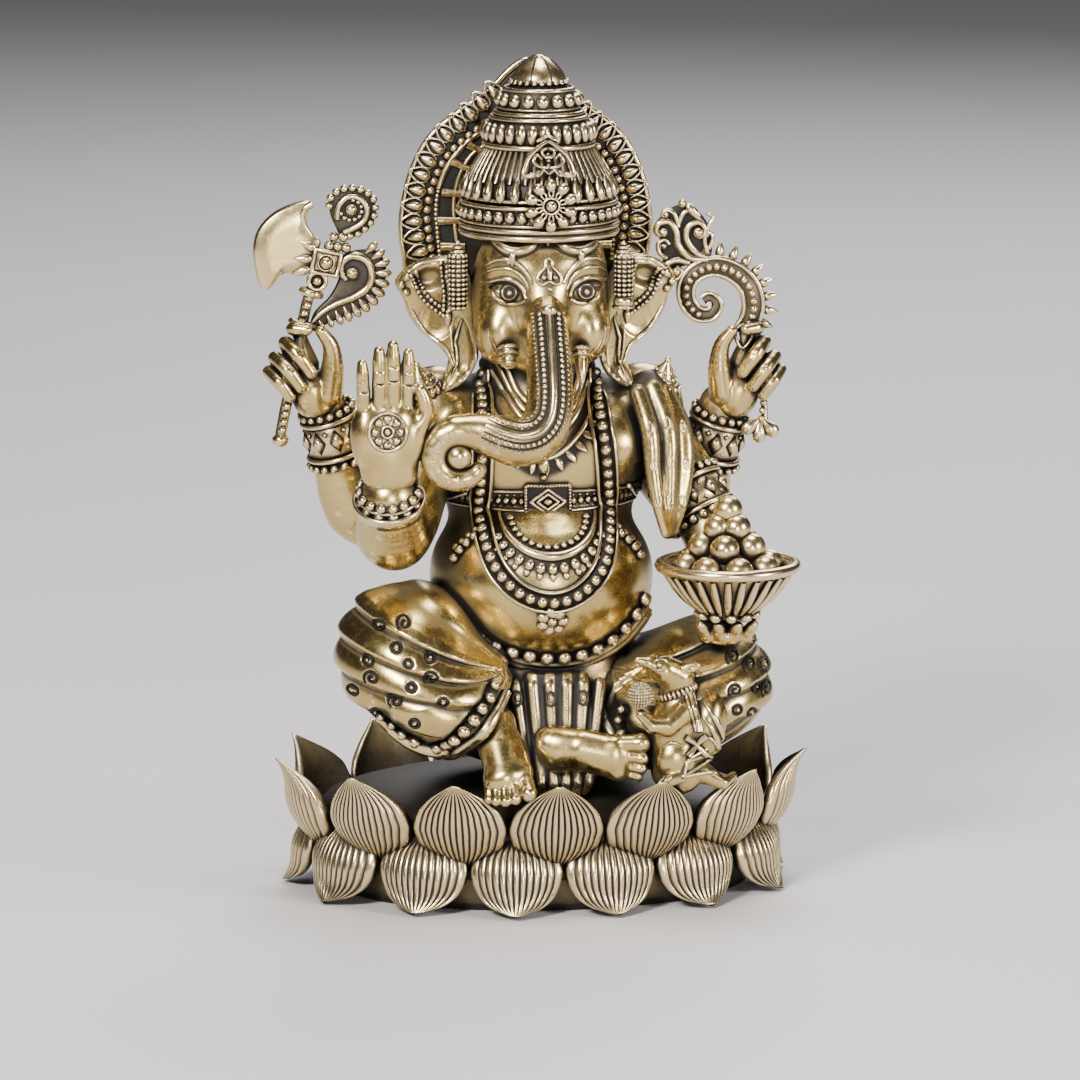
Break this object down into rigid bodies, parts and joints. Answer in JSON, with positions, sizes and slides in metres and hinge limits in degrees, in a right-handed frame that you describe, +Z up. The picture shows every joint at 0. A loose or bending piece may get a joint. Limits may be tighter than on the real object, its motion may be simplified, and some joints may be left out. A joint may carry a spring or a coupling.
{
  "type": "seated deity figurine",
  "caption": "Seated elephant-headed deity in antique brass on an oval double-lotus base, with tall crown, arched halo, axe, goad, raised palm and a bowl of sweets.",
  "frame": {"origin": "middle of the flat underside of the lotus base", "axes": "+Z up through the figure, the figure faces -Y, its right hand is on the -X side"},
  "size_m": [0.0827, 0.0614, 0.1224],
  "materials": {
    "brass_antique": "cast brass with an antique finish: rubbed bright on high places, dark in the hollows",
    "brass_patinated": "cast brass with heavy dark patina left in fine grooves, highlights rubbed back",
    "brass_worn": "cast brass rubbed to a soft satin shine, thin dark lines where pieces meet",
    "brass_beadwork": "cast brass beadwork, bright bead tops over nearly black ground"
  },
  "bodies": {
    "root": {"torso": "brass_antique", "base_drum": "brass_antique", "dhoti_right_leg": "brass_antique", "dhoti_left_leg": "brass_antique", "shoulder_sash": "brass_antique", "mouse": "brass_antique", "lotus_upper_petals": "brass_patinated", "lotus_lower_petals": "brass_patinated", "dhoti_front_pleats": "brass_patinated", "head": "brass_worn", "trunk": "brass_worn", "trunk_sweet": "brass_worn", "right_ear": "brass_worn", "left_ear": "brass_worn", "right_tusk": "brass_worn", "left_tusk": "brass_worn", "right_foot": "brass_worn", "left_foot": "brass_worn", "front_right_arm": "brass_worn", "blessing_hand": "brass_worn", "front_left_arm": "brass_worn", "bowl_hand": "brass_worn", "sweet_bowl": "brass_worn", "sweets": "brass_worn", "rear_right_arm": "brass_worn", "axe_handle": "brass_worn", "axe_blade": "brass_worn", "axe_hand": "brass_worn", "rear_left_arm": "brass_worn", "goad_hook": "brass_worn", "goad_tassel": "brass_worn", "goad_hand": "brass_worn", "mouse_sweet": "brass_worn", "crown_band": "brass_beadwork", "crown_petal_row": "brass_beadwork", "crown_flower": "brass_beadwork", "crown_crest": "brass_beadwork", "crown_dome": "brass_beadwork", "crown_bead_tier": "brass_beadwork", "crown_top_tier": "brass_beadwork", "crown_finial": "brass_beadwork", "right_ear_tassel": "brass_beadwork", "left_ear_tassel": "brass_beadwork", "halo": "brass_beadwork", "front_right_bracelet": "brass_beadwork", "axe_upper_scroll": "brass_beadwork", "axe_lower_scroll": "brass_beadwork", "rear_right_bracelet": "brass_beadwork", "goad_scroll": "brass_beadwork", "rear_left_bracelet": "brass_beadwork", "right_shoulder_cap": "brass_beadwork", "left_shoulder_cap": "brass_beadwork", "chest_buckle": "brass_beadwork", "long_necklace": "brass_beadwork", "necklace_pendant": "brass_beadwork", "collar_necklace": "brass_beadwork", "waist_beads": "brass_beadwork"}
  },
  "joints": []
}
